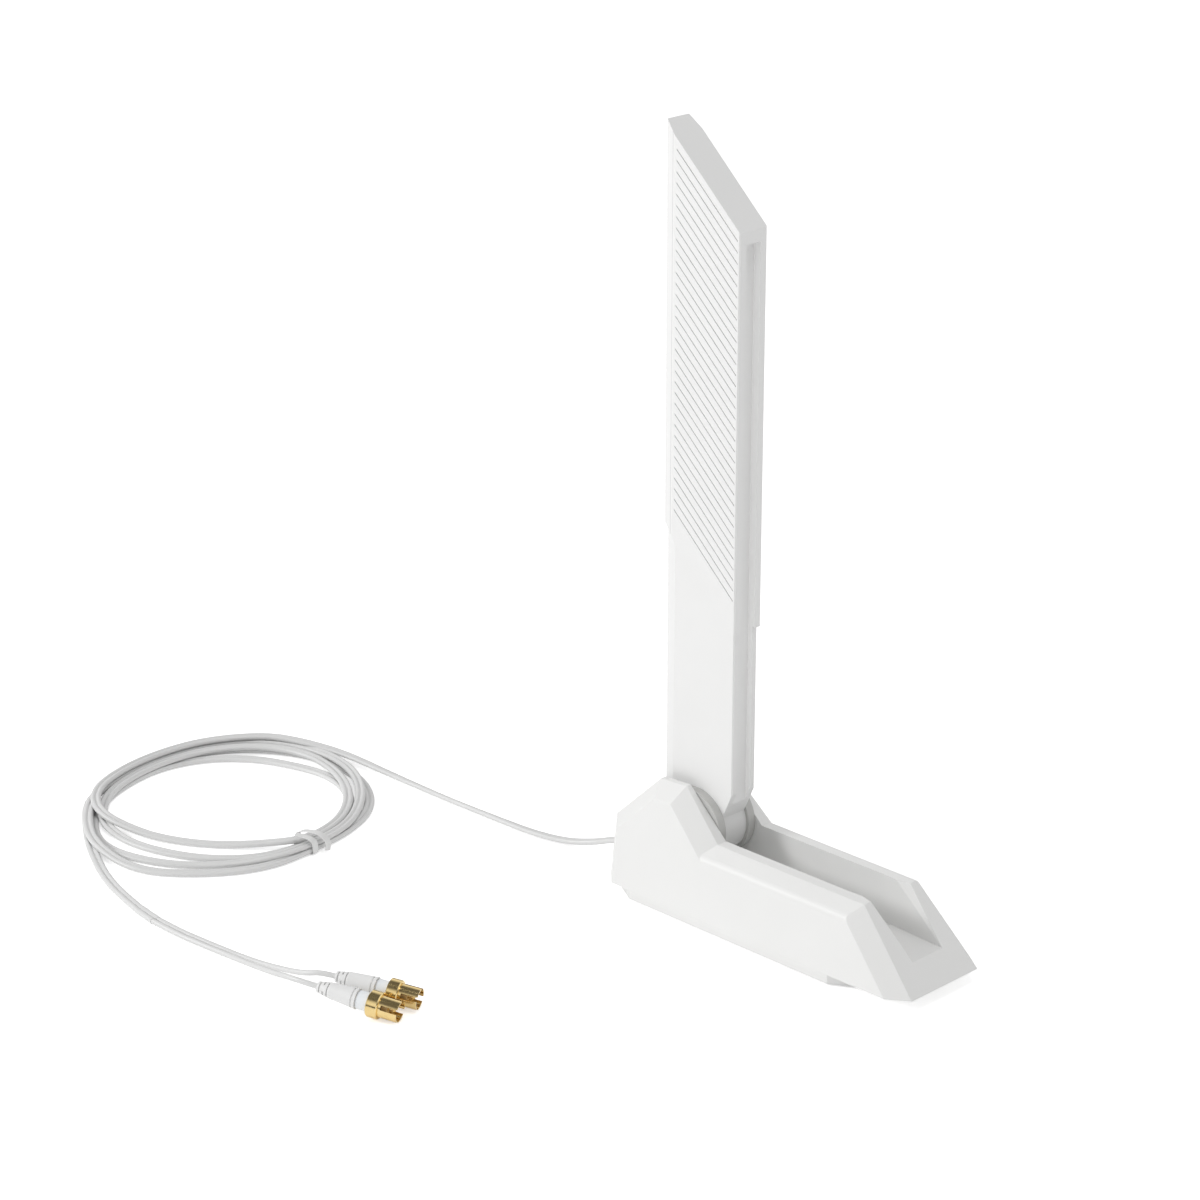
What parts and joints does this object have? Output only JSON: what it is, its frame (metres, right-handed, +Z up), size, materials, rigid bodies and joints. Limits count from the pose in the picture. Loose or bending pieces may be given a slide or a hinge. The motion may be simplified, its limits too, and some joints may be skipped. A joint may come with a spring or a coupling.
{
  "type": "folding wifi antenna",
  "caption": "White folding Wi-Fi antenna: a slim engraved blade hinged in a raked desktop base, with a coiled flat coaxial lead that ends in gold push-on plugs.",
  "frame": {"origin": "on the floor, under the middle of the base's length and width", "axes": "+Z up along the raised blade, -Y towards the raked nose, +X across the base"},
  "size_m": [0.1636, 0.3177, 0.2576],
  "materials": {
    "white_plastic": "fine satin moulding",
    "hub_grey": "satin",
    "cord_jacket": "smooth flexible jacket",
    "plug_boot": "satin flexible moulding",
    "tie_plastic": "satin",
    "plug_gold": "gold plated, polished",
    "insulator": "amber resin, smooth",
    "foot_rubber": "fine grain",
    "magnet": "nickel plated",
    "screw_steel": "zinc plated",
    "board_laminate": "satin mask",
    "copper": "tinned copper"
  },
  "bodies": {
    "base": {"base_housing": "white_plastic", "base_plate": "white_plastic", "foot_pad": "foot_rubber", "base_magnets": "magnet", "base_screws": "screw_steel", "base_lead_left": "cord_jacket", "base_lead_right": "cord_jacket", "cord_grommet": "plug_boot", "twin_lead": "cord_jacket", "cord_coil": "cord_jacket", "coil_tie": "tie_plastic", "twin_tail": "cord_jacket", "split_sleeve": "cord_jacket", "single_lead_front": "cord_jacket", "single_lead_rear": "cord_jacket", "plug_boot_front": "plug_boot", "plug_collar_front": "plug_gold", "plug_sleeve_front": "plug_gold", "plug_insulator_front": "insulator", "plug_contact_front": "plug_gold", "plug_boot_rear": "plug_boot", "plug_collar_rear": "plug_gold", "plug_sleeve_rear": "plug_gold", "plug_insulator_rear": "insulator", "plug_contact_rear": "plug_gold"},
    "blade": {"blade_shell_left": "white_plastic", "blade_shell_right": "white_plastic", "antenna_board": "board_laminate", "antenna_radiators": "copper", "hinge_bush_left": "hub_grey", "hinge_bush_right": "hub_grey", "friction_disc_left": "hub_grey", "friction_disc_right": "hub_grey", "blade_lead_left": "cord_jacket", "blade_lead_right": "cord_jacket"}
  },
  "joints": [
    {"name": "blade_fold", "type": "hinge", "parent": "base", "child": "blade", "pos_m": [0, 0.0355, 0.029], "axis": [1, 0, 0], "range_deg": [0, 90]}
  ]
}
